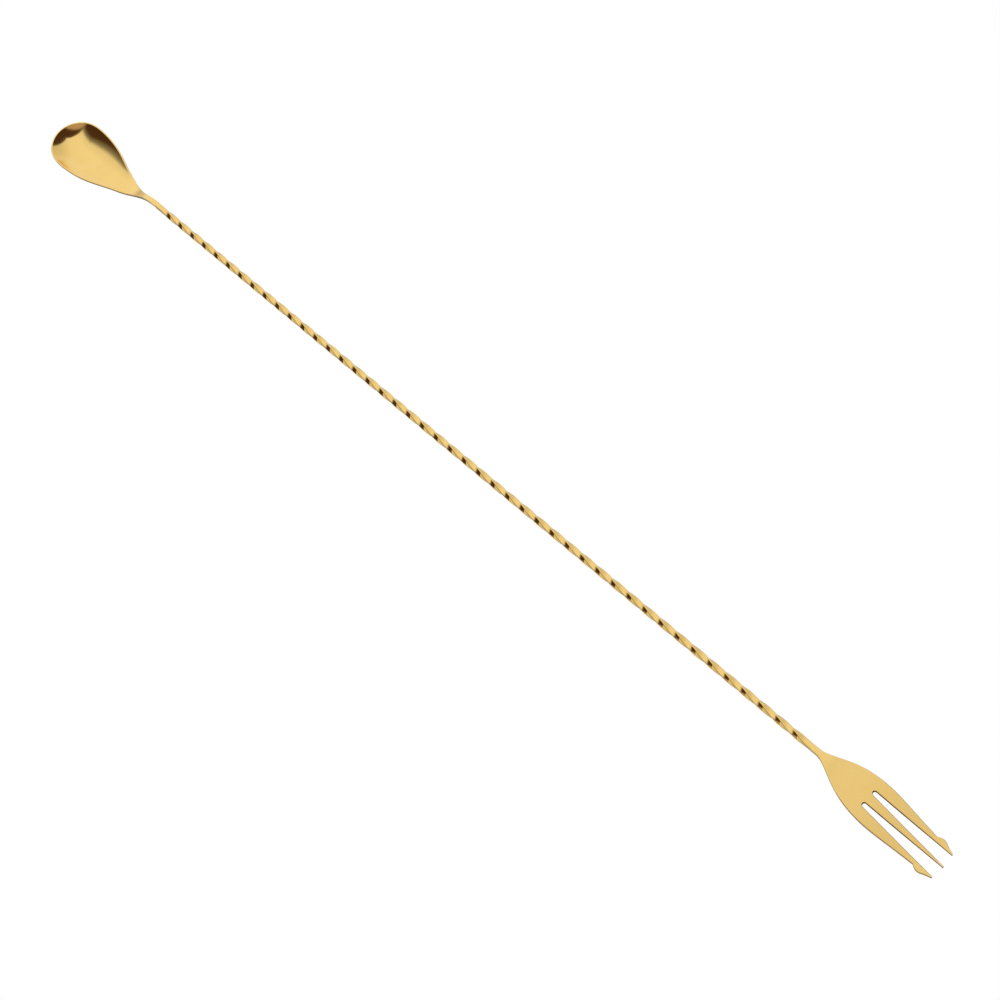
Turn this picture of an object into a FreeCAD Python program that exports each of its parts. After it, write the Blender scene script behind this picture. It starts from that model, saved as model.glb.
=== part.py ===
"""Long bar spoon: teardrop bowl, twisted square bar, three-pronged fork.

Frame: +X runs along the bar from the bowl to the fork, +Z is up and the bowl opens upwards.
The origin is under the middle of the spoon, on the surface that it lies on.
All sizes are in millimetres.
"""
import FreeCAD
import Part
import math
import os

V = FreeCAD.Vector

# Driving dimensions
length = 500.0          # bowl tip to the middle prong's point
bar_side = 2.3          # square bar, flat to flat
bar_corner = 0.25       # radius on the bar's long edges
twist_pitch = 31.9      # one full turn of the bar
twist_turns = 11.25     # ends on a flat again, so both plain ends lie face up
plain_at_bowl = 5.0     # untwisted bar beside the bowl's weld
plain_at_fork = 2.5     # untwisted bar beside the fork's weld
weld_length = 0.6       # weld metal between two butted ends
weld_proud = 0.03       # how far the dressed weld stands above the flats

sheet = 0.8             # bowl's metal thickness
bowl_half_width = 12.0
bowl_depth = 5.6        # rim to the underside
bowl_drop = 8.0         # rim below the bar's centre line
bowl_deepest = 12.5     # deepest point, from the tip
bowl_length = 53.0      # tip to the end of the bowl's tail, inside the neck
bowl_fullness = 2.2     # power of the bowl's section: 2 is a parabola, more is fuller
tail_fade = 2.0         # how much faster than the sides the floor rises towards the tail
# Bowl's outline from above: distance from the tip, and the share of the half width there
bowl_shape = [(5.2, 0.79), (19.2, 1.0), (31.2, 0.84), (43.2, 0.51), (49.0, 0.30), (52.0, 0.13)]
bowl_levels = [1.0, 0.92, 0.82, 0.7, 0.55, 0.38, 0.2]   # sizes of its level contours, rim to floor
# Neck between the bowl and the bar, as distances from the tip
flare_start, flare_middle, flare_end = 43.2, 53.4, 65.4  # outline narrows to the bar's width
flare_shares = 0.51, 0.265               # share of the bowl's half width at the first two
top_low, top_high = 48.0, 75.2           # upper side climbs from the rim to the bar
under_low, under_high = 51.0, 75.3       # underside climbs with it
bowl_to_twist = 81.3                     # tip to the start of the twist

fork_half_width = 8.2
fork_plate = 1.4        # fork's thickness over the shoulders
tip_plate = 1.0         # fork's thickness at the points
prong_length = 32.6     # slot end to the middle point
slot_radius = 0.85      # round inner end of each slot
slot_offset = 2.72      # slot's centre at that end, from the middle
point_width = 0.5       # each prong's blunt point
outer_short = 0.5       # how far the outer points end short of the middle one
outer_offset = 5.25     # outer point's centre, from the middle
# Outer barbs: distance back from the middle point, and from the middle line
barb_foot = 7.9, 6.36
barb_crest = [(6.3, 7.15), (4.9, 7.2), (3.4, 6.6), (1.9, 5.95)]
# Fork's outline from above: distance from its weld, and the share of the half width there
neck_flat = 2.0         # as wide as the bar up to here
fork_shape = [(7.5, 0.35), (15.5, 0.78), (27.5, 1.0), (40.0, 0.88)]
edge_slope = 0.1        # how steeply the outline runs in before the barb
tip_slope = 0.245       # how steeply the fork falls at its points
neck_run, neck_fall = 9.0, 1.5          # fork's bend: how far down, at the end of the neck
shoulder_run, shoulder_fall = 25.0, 5.4  # and at its widest place

# Places that follow from them
axis_z = bowl_depth + bowl_drop
rim_z = bowl_depth
tip_x = -length / 2
twist_length = twist_pitch * twist_turns
twist_start = tip_x + bowl_to_twist
twist_end = twist_start + twist_length
bowl_weld_x = twist_start - plain_at_bowl - weld_length
fork_weld_x = twist_end + plain_at_fork
fork_start = fork_weld_x + weld_length
fork_end = length / 2
half_bar = bar_side / 2
guide_radius = 5 * bar_side     # helix that steers the twist, well clear of the bar


def spline(points, start=None, end=None):
    """A smooth edge through the points, with its end directions if they are given."""
    curve = Part.BSplineCurve()
    if start is None:
        curve.interpolate(Points=points)
    else:
        curve.interpolate(Points=points, InitialTangent=start, FinalTangent=end)
    return curve.toShape()


def line(a, b):
    return Part.LineSegment(a, b).toShape()


def mirrored_y(edges):
    """The same edges on the other side of the middle plane."""
    return [e.mirror(V(0, 0, 0), V(0, 1, 0)) for e in edges]


def prism(edges, sweep):
    """The solid swept from the face that the edges close."""
    wire = Part.Wire(Part.__sortEdges__(edges))
    return Part.Face(wire).extrude(sweep)


def rounded_square(half, corner, x):
    """A square with rounded corners across the bar at x. Each flat is two strips, side by side,
    because triangles across one wide strip would cut the corners of the twist."""
    flat = half - corner
    turn = corner * math.sqrt(0.5)
    edges = []
    for quarter in range(4):
        c, s = round(math.cos(quarter * math.pi / 2)), round(math.sin(quarter * math.pi / 2))

        def place(y, z):
            return V(x, y * c - z * s, y * s + z * c)

        edges.append(line(place(half, -flat), place(half, 0)))
        edges.append(line(place(half, 0), place(half, flat)))
        corner_arc = Part.Arc(place(half, flat), place(flat + turn, flat + turn), place(flat, half))
        edges.append(corner_arc.toShape())
    return Part.Wire(edges)


def bar_piece(half, x0, x1):
    """A straight length of the square bar, on the bar's centre line."""
    face = Part.Face(rounded_square(half, bar_corner, x0))
    solid = face.extrude(V(x1 - x0, 0, 0))
    solid.translate(V(0, 0, axis_z))
    return solid


def twisted_shaft():
    spine = Part.Wire(line(V(0, 0, 0), V(0, 0, twist_length)))
    guide = Part.makeHelix(twist_pitch, twist_length, guide_radius)
    section = rounded_square(half_bar, bar_corner, 0)
    section.rotate(V(0, 0, 0), V(0, 1, 0), -90)
    sweep = Part.BRepOffsetAPI.MakePipeShell(spine)
    sweep.setAuxiliarySpine(guide, True, 0)
    sweep.add(section)
    sweep.build()
    sweep.makeSolid()
    twisted = sweep.shape()
    twisted.rotate(V(0, 0, 0), V(0, 1, 0), 90)
    twisted.translate(V(twist_start, 0, axis_z))
    at_bowl = bar_piece(half_bar, twist_start - plain_at_bowl, twist_start)
    at_fork = bar_piece(half_bar, twist_end, twist_end + plain_at_fork)
    return twisted.fuse([at_bowl, at_fork])


def weld(x):
    return bar_piece(half_bar + weld_proud, x, x + weld_length)


def bowl_contour(scale, z):
    """The bowl's outline drawn in towards its deepest point, at height z."""
    points = []
    for d, share in [(0.0, 0.0)] + bowl_shape + [(bowl_length, 0.0)]:
        along = scale if d < bowl_deepest else scale ** tail_fade
        x = tip_x + bowl_deepest + along * (d - bowl_deepest)
        points.append(V(x, scale * share * bowl_half_width, z))
    out = V(0, 1, 0)
    middle = len(points) // 2
    broad, narrow = points[:middle + 1], points[middle:]
    slope = V(narrow[1].x - broad[-2].x, narrow[1].y - broad[-2].y, 0)
    side = [spline(broad, out, slope), spline(narrow, slope, -out)]
    return Part.Wire(Part.__sortEdges__(side + mirrored_y(side)))


def bowl_form(scale, depth):
    """A solid the shape of the bowl: contours that shrink and sink towards the deepest point."""
    floor = bowl_levels[-1] ** bowl_fullness
    contours = []
    for share in bowl_levels:
        sunk = (1 - share ** bowl_fullness) / (1 - floor)
        contours.append(bowl_contour(scale * share, rim_z - depth * sunk))
    return Part.makeLoft(contours, True, False)


def neck_side(y, low_d, high_d, low_z, high_z):
    """The neck's upper or lower edge seen from the side: level, an S-shaped climb, and level again."""
    level = V(1, 0, 0)
    low, high = V(tip_x + low_d, y, low_z), V(tip_x + high_d, y, high_z)
    return [line(V(tip_x + flare_start, y, low_z), low), spline([low, high], level, level),
            line(high, V(bowl_weld_x, y, high_z))]


def bowl_neck():
    """The flat neck: its outline from above, cut to its curve from the side."""
    wide, narrow = [share * bowl_half_width for share in flare_shares]
    start = V(tip_x + flare_start, wide, 0)
    middle = V(tip_x + flare_middle, narrow, 0)
    end = V(tip_x + flare_end, half_bar, 0)
    weld_corner = V(bowl_weld_x, half_bar, 0)
    side = [spline([start, middle, end]), line(end, weld_corner)]
    ends = [line(p, V(p.x, -p.y, 0)) for p in (start, weld_corner)]
    plan = prism(side + mirrored_y(side) + ends, V(0, 0, 2 * axis_z))

    y = -2 * bowl_half_width
    top = neck_side(y, top_low, top_high, rim_z, axis_z + half_bar)
    under = neck_side(y, under_low, under_high, rim_z - sheet, axis_z - half_bar)
    closing = [line(V(tip_x + flare_start, y, rim_z - sheet), V(tip_x + flare_start, y, rim_z)),
               line(V(bowl_weld_x, y, axis_z - half_bar), V(bowl_weld_x, y, axis_z + half_bar))]
    return plan.common(prism(top + under + closing, V(0, -2 * y, 0)))


def spoon_bowl():
    outside = bowl_form(1.0, bowl_depth)
    hollow = bowl_form(1 - sheet / bowl_half_width, bowl_depth - sheet)
    return outside.fuse(bowl_neck()).cut(hollow)


def from_point(place):
    """A place on the fork's outline, given back from the middle point and from the middle line."""
    back, y = place
    return V(fork_end - back, y, 0)


def fork_outline():
    """One side of the fork from its weld to the outer prong's blunt point, and across that point."""
    neck = V(fork_start + neck_flat, half_bar, 0)
    shoulder = [V(fork_start + d, share * fork_half_width, 0) for d, share in fork_shape]
    foot = from_point(barb_foot)
    crest = [from_point(place) for place in barb_crest]
    outside = from_point((outer_short, outer_offset + point_width / 2))
    inside = from_point((outer_short, outer_offset - point_width / 2))
    return [line(V(fork_start, half_bar, 0), neck),
            spline([neck] + shoulder + [foot], V(1, 0, 0), V(1, -edge_slope, 0)),
            spline([foot] + crest), line(crest[-1], outside), line(outside, inside)]


def fork_slot():
    """Round one slot, from the outer prong's point to the middle point."""
    to_centre = prong_length - slot_radius
    outer = from_point((to_centre, slot_offset + slot_radius))
    inner = from_point((to_centre, slot_offset - slot_radius))
    end = from_point((prong_length, slot_offset))
    outer_point = from_point((outer_short, outer_offset - point_width / 2))
    return [line(outer_point, outer), Part.Arc(outer, end, inner).toShape(),
            line(inner, from_point((0, point_width / 2)))]


def fork_side(sign):
    """The fork's upper edge (sign 1) or lower edge (sign -1), seen from the side."""
    y = -2 * fork_half_width
    plate = sign * fork_plate / 2
    points = [V(fork_start, y, axis_z + sign * half_bar),
              V(fork_start + neck_run, y, axis_z - neck_fall + plate),
              V(fork_start + shoulder_run, y, axis_z - shoulder_fall + plate),
              V(fork_end, y, tip_plate * (1 + sign) / 2)]
    return points[0], points[-1], spline(points, V(1, 0, 0), V(1, 0, -tip_slope))


def trident_fork():
    side = fork_outline() + fork_slot()
    weld_end = line(V(fork_start, half_bar, 0), V(fork_start, -half_bar, 0))
    middle_point = line(from_point((0, point_width / 2)), from_point((0, -point_width / 2)))
    plan = prism(side + mirrored_y(side) + [weld_end, middle_point], V(0, 0, 2 * axis_z))
    top_start, top_end, top = fork_side(1)
    under_start, under_end, under = fork_side(-1)
    profile = [top, line(top_end, under_end), under, line(under_start, top_start)]
    return plan.common(prism(profile, V(0, 4 * fork_half_width, 0)))


def export(node, shape):
    solid = shape.Solids[0]
    print(node, len(shape.Solids), "solid", solid.isValid(), round(solid.Volume, 1), "mm3", solid.BoundBox)
    solid.exportStep("parts/" + node + ".step")


os.makedirs("parts", exist_ok=True)
export("spoon_bowl", spoon_bowl())
export("bowl_weld", weld(bowl_weld_x))
export("twisted_shaft", twisted_shaft())
export("fork_weld", weld(fork_weld_x))
export("trident_fork", trident_fork())
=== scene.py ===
"""Gold-plated bar spoon: teardrop bowl, twisted square bar and barbed three-pronged fork.

Metres, in the part's own frame: +X runs from the bowl to the fork and +Z is up.
"""

import math

import bmesh
import bpy
import numpy as np
from mathutils import Matrix, Vector


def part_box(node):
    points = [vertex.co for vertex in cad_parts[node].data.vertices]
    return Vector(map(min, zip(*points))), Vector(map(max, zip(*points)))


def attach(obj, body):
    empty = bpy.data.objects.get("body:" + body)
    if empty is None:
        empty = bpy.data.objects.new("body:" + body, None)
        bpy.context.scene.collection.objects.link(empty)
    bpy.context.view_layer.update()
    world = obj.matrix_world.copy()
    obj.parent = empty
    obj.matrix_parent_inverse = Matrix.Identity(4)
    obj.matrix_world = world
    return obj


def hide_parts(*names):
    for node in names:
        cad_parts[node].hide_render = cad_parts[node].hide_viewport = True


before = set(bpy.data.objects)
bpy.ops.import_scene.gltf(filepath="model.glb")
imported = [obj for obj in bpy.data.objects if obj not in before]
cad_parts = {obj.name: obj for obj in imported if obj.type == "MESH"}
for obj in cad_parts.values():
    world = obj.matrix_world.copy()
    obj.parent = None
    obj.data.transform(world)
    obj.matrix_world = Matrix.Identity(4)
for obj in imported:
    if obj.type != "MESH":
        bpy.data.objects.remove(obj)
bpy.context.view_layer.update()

MM = 0.001

# Bar
BAR_HALF = 1.15 * MM          # half of the square bar, flat to flat
BAR_CORNER = 0.38 * MM        # radius on its long edges
TWIST_PITCH = 31.9 * MM
PLAIN_AT_BOWL = 5 * MM        # untwisted bar at each end
PLAIN_AT_FORK = 2.5 * MM
TWIST_EASE = 4 * MM           # length over which the twist sets in
RING_STEP = 0.4 * MM          # the bar's mesh has a ring across it this often
CORNER_POINTS = 7             # points round each of its long edges
FLAT_POINTS = -0.92, -0.5, 0.0, 0.5, 0.92    # and across each flat, as shares of its half width

# Bowl and its neck, as distances from the tip
SHEET = 0.8 * MM              # metal thickness
BOWL_DEEPEST = 12.5 * MM
BOWL_DEPTH = 5.6 * MM         # rim to the underside
BOWL_TAIL = 53 * MM           # where the floor would reach the rim's height
HOLLOW_TAIL = 50.5 * MM
BOWL_FULLNESS = 2.2           # power of the bowl's section: 2 is a parabola, more is fuller
TAIL_FULLNESS = 1.1           # the same along the bowl, towards the neck
NECK_SQUARENESS = 9.0         # the same for the neck, which is nearly square
SQUARED = 30 * MM, 60 * MM              # the section turns from the bowl's to the neck's between these
NECK_TOP = 48 * MM, 75.2 * MM           # the neck's upper side climbs to the bar between these
NECK_UNDER = 51 * MM, 75.3 * MM
RIM_WIDTH = 0.5 * MM          # the rim is dressed thinner than the sheet
RIM_EDGE = 1.0 * MM           # upright outer edge of the rim
RIM_ROUND = 0.18 * MM
RIM_LEAN = 0.7                # how far the rim's inner rounding reaches in, in its radius
LEAST_INNER = 0.35            # the hollow keeps this share of the way out to the rim, where it is narrow
OUTLINE_STEP = 0.4 * MM
UNDER_RINGS, INNER_RINGS, ROUND_RINGS = 30, 40, 5    # rings of the mesh, and on each rounded edge
# Outline: distance from the tip, and the share of the bowl's half width there
BOWL_SHAPE = [(43.2 * MM, 0.51), (31.2 * MM, 0.84), (19.2 * MM, 1.0), (5.2 * MM, 0.79)]
NECK_SHAPE = (53.4 * MM, 0.265)
NECK_END = 65.4 * MM          # as narrow as the bar from here on
SWELL = 1.0125                # the curve's widest place, over the half width it goes through

# Fork, as distances from its weld
PLATE = 1.4 * MM              # thickness over the shoulders
TIP_PLATE = 1.0 * MM
FORK_FLAT = 2 * MM            # as narrow as the bar up to here
FORK_SHAPE = [(7.5 * MM, 0.35), (15.5 * MM, 0.78), (27.5 * MM, 1.0), (40 * MM, 0.88)]
PRONG_LENGTH = 32.6 * MM
SLOT_RADIUS = 0.85 * MM
SLOT_OFFSET = 2.72 * MM       # slot's round end, from the middle
POINT_HALF = 0.25 * MM        # half the width of each blunt point
OUTER_POINT = 0.5 * MM        # the outer points end this far short of the middle one
POINT_Y = 5.25 * MM           # outer points, from the middle
BARB_FOOT = 7.9 * MM, 6.36 * MM         # barb's foot: back from the middle point, and from the middle line
BARB_CREST = [(6.3 * MM, 7.15 * MM), (4.9 * MM, 7.2 * MM), (3.4 * MM, 6.6 * MM), (1.9 * MM, 5.95 * MM)]
EDGE_SLOPE = 0.1              # outline's slope into the barb
NECK_BEND = 9 * MM, 1.2 * MM            # bend: distance from the weld and fall
SHOULDER_BEND = 25 * MM, 5.4 * MM
TIP_SLOPE = 0.225
EDGE_ROUND = 0.16 * MM        # rounding of the plate's edges
POINT_TAPER = 0.028           # rounding shrinks towards each point, by this much per length
WELD_TAPER = 0.3              # and towards the weld
SHARP = math.radians(40)      # edges sharper than this stay creases
LEVEL = 0.999                 # a face belongs to the flat plate if its normal is this upright
CUT_STEP = 0.5 * MM           # the bent plate's mesh has a line across it this often
FORK_STEP = 0.35 * MM         # and points round its outline this often

MERGE = 0.001 * MM            # points closer than this are one


# ---------------------------------------------------------------- mesh tools

def smooth_step(t):
    t = np.clip(t, 0.0, 1.0)
    return t * t * (3 - 2 * t)


def spline(points, spacing, start=None, end=None):
    """Points about spacing apart on a curvature-continuous curve through the points.
    start and end are its directions there; without them its ends are free."""
    p = np.array(points, float)
    step = np.linalg.norm(np.diff(p, axis=0), axis=1)
    t = np.concatenate([[0.0], np.cumsum(step)])
    n = len(p)
    a, b = np.eye(n), np.zeros_like(p)
    for i in range(1, n - 1):
        a[i, i - 1:i + 2] = step[i - 1], 2 * (step[i - 1] + step[i]), step[i]
        b[i] = 6 * ((p[i + 1] - p[i]) / step[i] - (p[i] - p[i - 1]) / step[i - 1])
    if start is not None:
        a[0, :2] = 2 * step[0], step[0]
        b[0] = 6 * ((p[1] - p[0]) / step[0] - np.array(start) / np.linalg.norm(start))
    if end is not None:
        a[-1, -2:] = step[-1], 2 * step[-1]
        b[-1] = 6 * (np.array(end) / np.linalg.norm(end) - (p[-1] - p[-2]) / step[-1])
    m = np.linalg.solve(a, b)
    at = np.linspace(0, t[-1], max(3, math.ceil(t[-1] / spacing) + 1))
    k = np.clip(np.searchsorted(t, at) - 1, 0, n - 2)
    h, u, v = step[k][:, None], (at - t[k])[:, None], (t[k + 1] - at)[:, None]
    return (m[k] * v ** 3 + m[k + 1] * u ** 3) / (6 * h) + (p[k] / h - m[k] * h / 6) * v \
        + (p[k + 1] / h - m[k + 1] * h / 6) * u


def straight(a, b, spacing):
    count = max(2, math.ceil(math.dist(a, b) / spacing) + 1)
    return np.linspace(a, b, count)


def grid_faces(rows, columns, wrap):
    """Quads of a grid of points, numbered row by row. wrap joins its last column to its first."""
    last = columns if wrap else columns - 1
    faces = []
    for r in range(rows - 1):
        for c in range(last):
            d = (c + 1) % columns
            faces.append((r * columns + c, r * columns + d, (r + 1) * columns + d, (r + 1) * columns + c))
    return faces


def new_bmesh(points, faces):
    bm = bmesh.new()
    verts = [bm.verts.new(p) for p in points]
    for f in faces:
        bm.faces.new([verts[i] for i in f])
    return bm


def finish_piece(bm, name, node, material, creases=()):
    """Turns the mesh into a piece that stands for the CAD node."""
    bmesh.ops.recalc_face_normals(bm, faces=bm.faces)
    for edge in bm.edges:
        edge.smooth = len(edge.link_faces) != 2 or edge.calc_face_angle() < SHARP
    for edge in creases:
        edge.smooth = False
    mesh = bpy.data.meshes.new(name)
    bm.to_mesh(mesh)
    bm.free()
    mesh.shade_smooth()
    mesh.materials.append(material)
    piece = bpy.data.objects.new(name, mesh)
    bpy.context.scene.collection.objects.link(piece)
    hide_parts(node)
    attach(piece, "root")


# ---------------------------------------------------------------- materials

def gold(name, roughness, grain):
    """Polished gold-coloured plating: slightly uneven in colour and gloss, with fine polishing
    lines along the spoon."""
    material = bpy.data.materials.new(name)
    material.use_nodes = True
    nodes, links = material.node_tree.nodes, material.node_tree.links
    nodes.clear()

    def node(kind, **inputs):
        made = nodes.new(kind)
        for key, value in inputs.items():
            made.inputs[key.replace("_", " ")].default_value = value
        return made

    place = node("ShaderNodeTexCoord")
    clouds = node("ShaderNodeTexNoise", Scale=90.0, Detail=3.0, Roughness=0.6)
    links.new(place.outputs["Object"], clouds.inputs["Vector"])

    stretch = node("ShaderNodeMapping", Scale=(60.0, 1400.0, 60.0))
    lines = node("ShaderNodeTexNoise", Scale=1.0, Detail=2.0, Roughness=0.5)
    links.new(place.outputs["Object"], stretch.inputs["Vector"])
    links.new(stretch.outputs["Vector"], lines.inputs["Vector"])

    tint = nodes.new("ShaderNodeValToRGB")
    tint.color_ramp.elements[0].position = 0.3
    tint.color_ramp.elements[0].color = (0.830, 0.570, 0.185, 1)
    tint.color_ramp.elements[1].position = 0.7
    tint.color_ramp.elements[1].color = (0.870, 0.610, 0.215, 1)
    links.new(clouds.outputs["Fac"], tint.inputs["Fac"])

    gloss = node("ShaderNodeMapRange", To_Min=roughness * 0.8, To_Max=roughness * 1.25)
    links.new(clouds.outputs["Fac"], gloss.inputs["Value"])

    relief = node("ShaderNodeBump", Strength=grain, Distance=0.02 * MM)
    links.new(lines.outputs["Fac"], relief.inputs["Height"])

    shader = node("ShaderNodeBsdfPrincipled", Metallic=1.0)
    links.new(tint.outputs["Color"], shader.inputs["Base Color"])
    links.new(gloss.outputs["Result"], shader.inputs["Roughness"])
    links.new(relief.outputs["Normal"], shader.inputs["Normal"])
    out = nodes.new("ShaderNodeOutputMaterial")
    links.new(shader.outputs["BSDF"], out.inputs["Surface"])
    return material


gold_polished = gold("gold_polished", 0.12, 0.25)
gold_satin = gold("gold_satin", 0.10, 0.15)


# ---------------------------------------------------------------- twisted bar

def bar_section():
    """Points round the bar's section, quarter by quarter: one flat and one rounded corner."""
    flat = BAR_HALF - BAR_CORNER
    turn = np.radians(np.linspace(0, 90, CORNER_POINTS))
    across = np.array(FLAT_POINTS) * flat
    y = np.concatenate([np.full(len(across), BAR_HALF), flat + BAR_CORNER * np.cos(turn)])
    z = np.concatenate([across, flat + BAR_CORNER * np.sin(turn)])
    points = []
    for quarter in range(4):
        c, s = round(math.cos(quarter * math.pi / 2)), round(math.sin(quarter * math.pi / 2))
        points.append(np.stack([y * c - z * s, y * s + z * c], axis=1))
    return np.concatenate(points)


def turned_length(d):
    """How much twisted bar lies before d, which counts from the twist's start and is eased there."""
    eased = (d + TWIST_EASE / 2) ** 2 / (2 * TWIST_EASE)
    return np.where(d < -TWIST_EASE / 2, 0.0, np.where(d > TWIST_EASE / 2, d, eased))


def twisted_bar():
    lo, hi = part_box("twisted_shaft")
    axis_z = (lo.z + hi.z) / 2
    x = np.linspace(lo.x, hi.x, round((hi.x - lo.x) / RING_STEP) + 1)
    turned = turned_length(x - lo.x - PLAIN_AT_BOWL) - turned_length(x - hi.x + PLAIN_AT_FORK)
    angle = 2 * math.pi * turned / TWIST_PITCH
    section = bar_section()
    c, s = np.cos(angle)[:, None], np.sin(angle)[:, None]
    y = section[:, 0] * c - section[:, 1] * s
    z = section[:, 0] * s + section[:, 1] * c + axis_z
    points = np.stack([np.repeat(x[:, None], len(section), axis=1), y, z], axis=2).reshape(-1, 3)
    bm = new_bmesh(points, grid_faces(len(x), len(section), True))
    bmesh.ops.holes_fill(bm, edges=[e for e in bm.edges if e.is_boundary])
    finish_piece(bm, "twisted_bar", "twisted_shaft", gold_polished)


def dressed_weld(node, material):
    """The weld as it looks once it is ground flush and plated over: the bar's section again."""
    lo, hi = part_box(node)
    section = bar_section()
    points = []
    for x in (lo.x, hi.x):
        for y, z in section:
            points.append((x, y, z + (lo.z + hi.z) / 2))
    bm = new_bmesh(points, grid_faces(2, len(section), True))
    bmesh.ops.holes_fill(bm, edges=[e for e in bm.edges if e.is_boundary])
    finish_piece(bm, "dressed_" + node, node, material)


# ---------------------------------------------------------------- bowl

def corner_curve(a, corner, b, share):
    """A point on the rounded corner from a to b, at share of the way. Each point is (out, z)."""
    u = 1 - share
    return [u * u * p + 2 * u * share * q + share * share * r for p, q, r in zip(a, corner, b)]


def floor_depth(d, tail):
    """How deep the bowl's middle line is at d, as a share of the deepest place."""
    back = np.clip((d - BOWL_DEEPEST) / (tail - BOWL_DEEPEST), 0, 1)
    return 1 - back ** TAIL_FULLNESS


def bowl():
    lo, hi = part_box("spoon_bowl")
    width = hi.y / SWELL
    rim_z = lo.z + BOWL_DEPTH
    tail = hi.x - lo.x
    half_side = [(d, share * width) for d, share in BOWL_SHAPE]
    neck = [(tail, BAR_HALF), ((tail + NECK_END) / 2, BAR_HALF), (NECK_END, BAR_HALF),
            (NECK_SHAPE[0], NECK_SHAPE[1] * width)]
    side = neck + half_side
    whole = side + [(0.0, 0.0)] + [(d, -y) for d, y in reversed(side)]
    outline = spline(whole, OUTLINE_STEP)
    outline = outline[:len(outline) // 2 + 1]
    outline[-1] = 0.0, 0.0
    along = np.gradient(outline, axis=0)
    along /= np.linalg.norm(along, axis=1)[:, None]
    d = outline[:, 0]

    spine = np.stack([np.maximum(d, BOWL_DEEPEST), np.zeros(len(d))], axis=1)
    ray = outline - spine
    reach = np.linalg.norm(ray, axis=1)
    ray /= reach[:, None]
    square_on = np.abs(ray[:, 0] * along[:, 1] - ray[:, 1] * along[:, 0])
    inner = np.maximum(reach - RIM_WIDTH / square_on, LEAST_INNER * reach)

    hollow = (BOWL_DEPTH - SHEET) * floor_depth(d, HOLLOW_TAIL)
    full = (BOWL_DEPTH - SHEET) * floor_depth(d, BOWL_TAIL)
    low_top, high_top = rim_z, hi.z
    low_under, high_under = rim_z - SHEET, hi.z - 2 * BAR_HALF
    top = low_top + (high_top - low_top) * smooth_step((d - NECK_TOP[0]) / (NECK_TOP[1] - NECK_TOP[0]))
    climb = smooth_step((d - NECK_UNDER[0]) / (NECK_UNDER[1] - NECK_UNDER[0]))
    metal = top - low_under - (high_under - low_under) * climb
    squared = smooth_step((d - SQUARED[0]) / (SQUARED[1] - SQUARED[0]))
    power = BOWL_FULLNESS + (NECK_SQUARENESS - BOWL_FULLNESS) * squared

    rows = []
    for q in np.sin(np.linspace(0, math.pi / 2, UNDER_RINGS)):
        rows.append((reach * q, top - RIM_EDGE - (full + metal - RIM_EDGE) * (1 - q ** power)))
    for share in np.linspace(0, 1, ROUND_RINGS):
        rows.append(corner_curve((reach, top - RIM_ROUND), (reach, top), (reach - RIM_ROUND, top), share))
    lip = inner + RIM_ROUND
    for share in (0.25, 0.75):
        rows.append((reach - RIM_ROUND - share * (reach - RIM_ROUND - lip), top))
    inside = inner - RIM_LEAN * RIM_ROUND
    inside_z = top - hollow * (1 - (inside / inner) ** BOWL_FULLNESS)
    for share in np.linspace(0, 1, ROUND_RINGS):
        rows.append(corner_curve((lip, top), (inner, top), (inside, inside_z), share))
    for q in np.sin(np.linspace(math.pi / 2, 0, INNER_RINGS))[1:]:
        out = inside * q
        rows.append((out, top - hollow * (1 - (out / inner) ** BOWL_FULLNESS)))

    half = []
    for out, z in rows:
        flat_place = spine + ray * out[:, None]
        half.append(np.stack([lo.x + flat_place[:, 0], flat_place[:, 1], z], axis=1))
    half = np.concatenate(half)
    faces = grid_faces(len(rows), len(d), False)
    mirrored = half * np.array([1, -1, 1])
    back = [tuple(i + len(half) for i in reversed(f)) for f in faces]
    bm = new_bmesh(np.concatenate([half, mirrored]), faces + back)
    bmesh.ops.remove_doubles(bm, verts=bm.verts, dist=MERGE)
    bmesh.ops.holes_fill(bm, edges=[e for e in bm.edges if e.is_boundary])
    finish_piece(bm, "bowl", "spoon_bowl", gold_polished)


# ---------------------------------------------------------------- fork

def fork_outline(width, end):
    """The fork's outline from above, closed, starting at the weld's corner."""
    spacing = FORK_STEP
    foot = (end - BARB_FOOT[0], BARB_FOOT[1])
    crest = [(end - back, y) for back, y in BARB_CREST]
    tip_x = end - OUTER_POINT
    outside, inside = (tip_x, POINT_Y + POINT_HALF), (tip_x, POINT_Y - POINT_HALF)
    shoulder = [(FORK_FLAT, BAR_HALF)] + [(x, share * width) for x, share in FORK_SHAPE] + [foot]
    slot_x = end - PRONG_LENGTH + SLOT_RADIUS
    around = np.radians(np.linspace(90, 270, 13))
    arc = np.stack([slot_x + SLOT_RADIUS * np.cos(around),
                    SLOT_OFFSET + SLOT_RADIUS * np.sin(around)], axis=1)
    runs = [straight((0, BAR_HALF), (FORK_FLAT, BAR_HALF), spacing),
            spline(shoulder, spacing, (1, 0), (1, -EDGE_SLOPE)),
            spline([foot] + crest, 0.5 * spacing), straight(crest[-1], outside, spacing),
            straight(outside, inside, spacing), straight(inside, arc[0], spacing), arc,
            straight(arc[-1], (end, POINT_HALF), spacing), straight((end, POINT_HALF), (end, 0), spacing)]
    side = np.concatenate([run[:-1] for run in runs])
    points = [(end, 0), (tip_x, POINT_Y), (tip_x, -POINT_Y)]
    outline = np.concatenate([side, [(end, 0)], (side * (1, -1))[::-1]])
    return outline, np.array(points)


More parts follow.
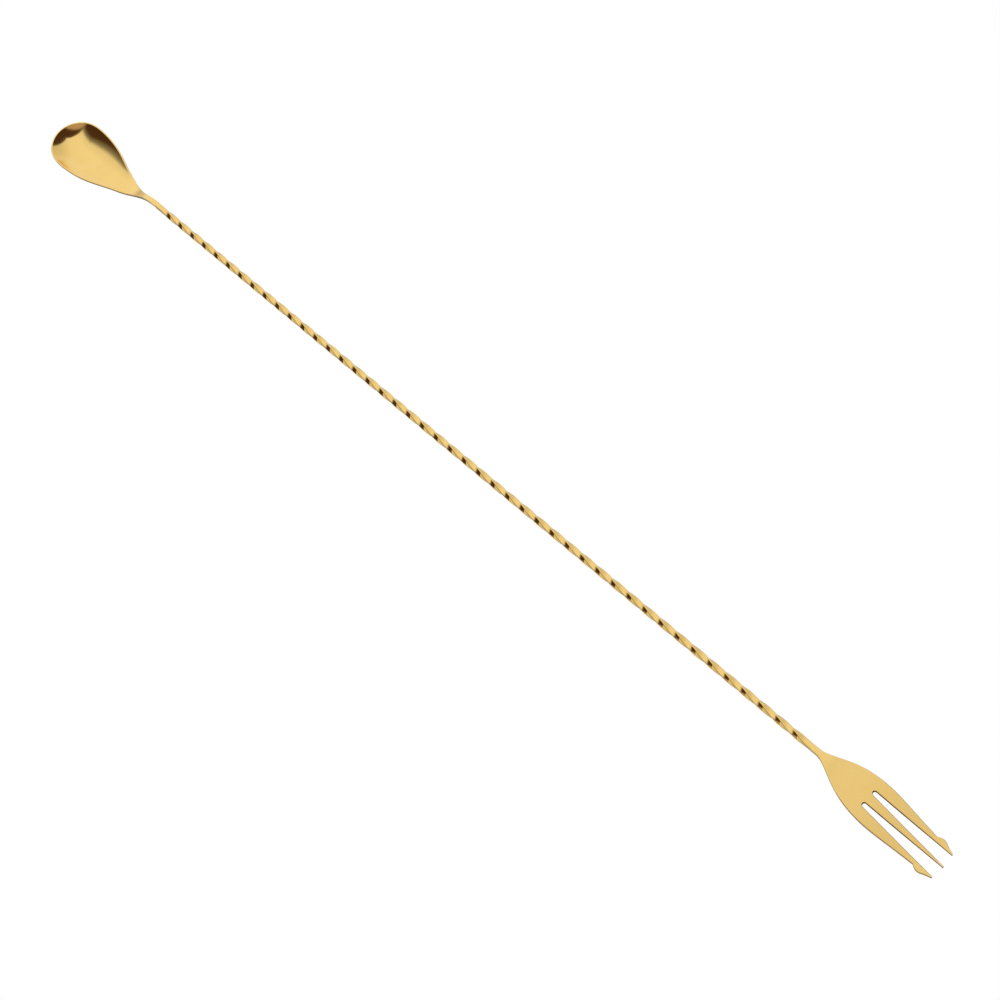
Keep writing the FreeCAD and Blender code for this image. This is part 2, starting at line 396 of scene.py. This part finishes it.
def inset_direction(outline):
    """For each point, the way in from the edge, lengthened at corners so that edges stay parallel."""
    before = outline - np.roll(outline, 1, axis=0)
    after = np.roll(outline, -1, axis=0) - outline
    normals = []
    for edge in (before, after):
        edge = edge / np.linalg.norm(edge, axis=1)[:, None]
        normals.append(np.stack([edge[:, 1], -edge[:, 0]], axis=1))
    middle = normals[0] + normals[1]
    middle /= np.linalg.norm(middle, axis=1)[:, None]
    stretch = 1 / np.maximum((middle * normals[0]).sum(axis=1), 0.3)
    return middle * stretch[:, None]


def fork_side(start_z, sign, run, end_z):
    """Height of the fork's upper (sign 1) or lower side, as (distances from the weld, heights)."""
    plate = sign * PLATE / 2
    points = [(0, start_z + sign * BAR_HALF), (NECK_BEND[0], start_z - NECK_BEND[1] + plate),
              (SHOULDER_BEND[0], start_z - SHOULDER_BEND[1] + plate), (run, end_z)]
    curve = spline(points, 0.2 * MM, (1, 0), (1, -TIP_SLOPE))
    return curve[:, 0], curve[:, 1]


def fork():
    lo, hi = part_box("trident_fork")
    end = hi.x - lo.x
    outline, points = fork_outline(hi.y, end)
    inward = inset_direction(outline)
    to_point = np.linalg.norm(outline[:, None] - points[None], axis=2).min(axis=1)
    edge = np.clip(POINT_TAPER * to_point + 0.2 * POINT_HALF, 0, EDGE_ROUND)
    edge = np.minimum(edge, WELD_TAPER * outline[:, 0])

    half = PLATE / 2
    rings = []
    for side in (1, -1):
        turn = np.radians(np.linspace(0, 90, 5) if side > 0 else np.linspace(90, 0, 5))
        for a in turn:
            place = outline + inward * (edge * (1 - math.sin(a)))[:, None]
            z = side * (half - edge * (1 - math.cos(a)))
            rings.append(np.column_stack([place, z]))
    count = len(outline)
    bm = new_bmesh(np.concatenate(rings), grid_faces(len(rings), count, True))
    bm.verts.ensure_lookup_table()
    caps = [bm.faces.new(bm.verts[:count]), bm.faces.new(bm.verts[-count:])]
    bmesh.ops.triangulate(bm, faces=caps)
    for x in np.arange(CUT_STEP, end, CUT_STEP):
        everything = list(bm.verts) + list(bm.edges) + list(bm.faces)
        bmesh.ops.bisect_plane(bm, geom=everything, dist=MERGE, plane_co=(x, 0, 0), plane_no=(1, 0, 0))
    bmesh.ops.remove_doubles(bm, verts=bm.verts, dist=MERGE)

    bm.normal_update()
    flats = {face for face in bm.faces if abs(face.normal.z) > LEVEL}
    borders = [edge for edge in bm.edges if len(flats.intersection(edge.link_faces)) == 1]

    axis_z = hi.z - BAR_HALF
    top, under = fork_side(axis_z, 1, end, TIP_PLATE), fork_side(axis_z, -1, end, 0.0)
    for v in bm.verts:
        high, low = np.interp(v.co.x, *top), np.interp(v.co.x, *under)
        v.co.z = low + (high - low) * (v.co.z + half) / PLATE
        v.co.x += lo.x
    finish_piece(bm, "fork", "trident_fork", gold_satin, borders)


twisted_bar()
bowl()
fork()
dressed_weld("bowl_weld", gold_polished)
dressed_weld("fork_weld", gold_satin)


# ---------------------------------------------------------------- studio

FLOOR_REACH = 6.0             # metres from the middle to each side
FLOOR_MIRRORED = 0.8          # brightness of the open floor as the spoon mirrors it
# Painted shadow: the floor the spoon mirrors is a glow, darkened by ambient occlusion near the spoon
PAINTED_SHADOW_REACH = 30 * MM         # painted shadow: the mirrored floor's glow is darkened within this distance of the spoon
PAINTED_SHADOW_DEPTH = 4.0
# Dome: a large soft panel overhead, in front of a dark room
PANEL_SIDE = 0.447, 0.894, 0.0            # across the panel, from its front edge
# The panel's brightness across it: the share of that direction, and how bright it is there
PANEL = [(-0.78, 0.0), (-0.66, 0.3), (-0.56, 0.92), (-0.3, 1.06), (0.28, 1.02), (0.6, 0.85), (0.9, 0.7)]
# Its two edges on the fork's side: a direction, and the shares of it between which the panel fades out
PANEL_EDGES = [((0.927, -0.373, 0.0), 0.185, 0.225), ((0.946, 0.323, 0.0), 0.345, 0.385)]
ROOM = (0.075, 0.038, 0.022)
GLOW = (0.55, 0.42, 0.38)     # paler part of the room, to the front right
GLOW_SIDE = 0.65, -0.76, 0.0
GLOW_EDGE = 0.48, 0.58
# Camera: where it stands as seen from the spoon, and the point it looks at from the bar's middle
VIEW_AZIMUTH, VIEW_ELEVATION, VIEW_ROLL = -23.914, 60.819, -23.336    # degrees
VIEW_DISTANCE = 754.1 * MM
AIM_ALONG, AIM_ACROSS = 30.9 * MM, -3.26 * MM
LENS, SENSOR = 72.0, 36.0


def floor():
    """A plain, very pale floor. Seen directly it is evenly white. The spoon mirrors a dimmer glowing one,
    darkened near the spoon by painted shadow from ambient occlusion, standing in for a table that the dome
    lights from above."""
    mesh = bpy.data.meshes.new("floor")
    corners = [(x * FLOOR_REACH, y * FLOOR_REACH, 0) for x, y in ((-1, -1), (1, -1), (1, 1), (-1, 1))]
    mesh.from_pydata(corners, [], [(0, 1, 2, 3)])
    plane = bpy.data.objects.new("floor", mesh)
    bpy.context.scene.collection.objects.link(plane)
    material = bpy.data.materials.new("floor_white")
    material.use_nodes = True
    nodes, links = material.node_tree.nodes, material.node_tree.links
    nodes.clear()
    path = nodes.new("ShaderNodeLightPath")
    # Painted shadow: ambient occlusion, raised to a power, darkens the mirrored floor's glow near the
    # spoon
    shade = nodes.new("ShaderNodeAmbientOcclusion")
    shade.inputs["Distance"].default_value = PAINTED_SHADOW_REACH
    painted_shadow = nodes.new("ShaderNodeMath")
    painted_shadow.operation = "POWER"
    painted_shadow.inputs[1].default_value = PAINTED_SHADOW_DEPTH
    level = nodes.new("ShaderNodeMath")
    level.operation = "MULTIPLY"
    level.inputs[1].default_value = FLOOR_MIRRORED
    seen, mirrored = nodes.new("ShaderNodeEmission"), nodes.new("ShaderNodeEmission")
    mix, out = nodes.new("ShaderNodeMixShader"), nodes.new("ShaderNodeOutputMaterial")
    links.new(shade.outputs["AO"], painted_shadow.inputs[0])
    links.new(painted_shadow.outputs["Value"], level.inputs[0])
    links.new(level.outputs["Value"], mirrored.inputs["Strength"])
    links.new(path.outputs["Is Camera Ray"], mix.inputs["Fac"])
    links.new(mirrored.outputs["Emission"], mix.inputs[1])
    links.new(seen.outputs["Emission"], mix.inputs[2])
    links.new(mix.outputs["Shader"], out.inputs["Surface"])
    mesh.materials.append(material)


def studio_light():
    """The dome: the spoon mirrors the panel, the dark room and its paler part. Seen directly
    it is white."""
    world = bpy.data.worlds.new("studio")
    bpy.context.scene.world = world
    world.use_nodes = True
    nodes, links = world.node_tree.nodes, world.node_tree.links
    nodes.clear()
    place = nodes.new("ShaderNodeTexCoord")

    def share(value, start, end):
        made = nodes.new("ShaderNodeMapRange")
        made.interpolation_type = "SMOOTHSTEP"
        made.inputs["From Min"].default_value = start
        made.inputs["From Max"].default_value = end
        links.new(value, made.inputs["Value"])
        return made.outputs["Result"]

    def blend(factor, first, second):
        made = nodes.new("ShaderNodeMix")
        made.data_type = "RGBA"
        links.new(factor, made.inputs["Factor"])
        for colour, socket in ((first, made.inputs[6]), (second, made.inputs[7])):
            if isinstance(colour, tuple):
                socket.default_value = (*colour, 1)
            else:
                links.new(colour, socket)
        return made.outputs[2]

    def towards(direction):
        made = nodes.new("ShaderNodeVectorMath")
        made.operation = "DOT_PRODUCT"
        made.inputs[1].default_value = direction
        links.new(place.outputs["Generated"], made.inputs[0])
        return made.outputs["Value"]

    panel = nodes.new("ShaderNodeValToRGB")
    elements = panel.color_ramp.elements
    while len(elements) < len(PANEL):
        elements.new(0.5)
    for element, (across, shade) in zip(elements, PANEL):
        element.position = (across + 1) / 2
        element.color = tuple(max(shade, dark) for dark in ROOM) + (1,)
    half = nodes.new("ShaderNodeMapRange")
    half.inputs["From Min"].default_value = -1.0
    links.new(towards(PANEL_SIDE), half.inputs["Value"])
    links.new(half.outputs["Result"], panel.inputs["Fac"])
    dome = panel.outputs["Color"]
    for direction, start, end in PANEL_EDGES:
        dome = blend(share(towards(direction), start, end), dome, ROOM)
    dome = blend(share(towards(GLOW_SIDE), *GLOW_EDGE), dome, GLOW)

    mirrored, seen = nodes.new("ShaderNodeBackground"), nodes.new("ShaderNodeBackground")
    links.new(dome, mirrored.inputs["Color"])
    seen.inputs["Color"].default_value = (1, 1, 1, 1)
    path, mix = nodes.new("ShaderNodeLightPath"), nodes.new("ShaderNodeMixShader")
    links.new(path.outputs["Is Camera Ray"], mix.inputs["Fac"])
    links.new(mirrored.outputs["Background"], mix.inputs[1])
    links.new(seen.outputs["Background"], mix.inputs[2])
    out = nodes.new("ShaderNodeOutputWorld")
    links.new(mix.outputs["Shader"], out.inputs["Surface"])


def camera():
    """Looks down on the spoon from beyond its fork end, so that the bowl points up and to the left."""
    data = bpy.data.cameras.new("camera")
    data.lens = LENS
    data.sensor_width = SENSOR
    made = bpy.data.objects.new("camera", data)
    bpy.context.scene.collection.objects.link(made)
    lo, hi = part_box("twisted_shaft")
    aim = (lo + hi) / 2 + Vector((AIM_ALONG, AIM_ACROSS, 0))
    azimuth, elevation, roll = (math.radians(a) for a in (VIEW_AZIMUTH, VIEW_ELEVATION, VIEW_ROLL))
    across = Vector((-math.sin(azimuth), math.cos(azimuth), 0))
    back = Vector((math.cos(elevation) * across.y, -math.cos(elevation) * across.x, math.sin(elevation)))
    level_up = back.cross(across)
    right = across * math.cos(roll) + level_up * math.sin(roll)
    up = back.cross(right)
    made.matrix_world = Matrix.Translation(aim + back * VIEW_DISTANCE) @ Matrix(
        (right, up, back)).transposed().to_4x4()
    bpy.context.scene.camera = made


floor()
studio_light()
camera()
bpy.context.scene.view_settings.view_transform = "Standard"
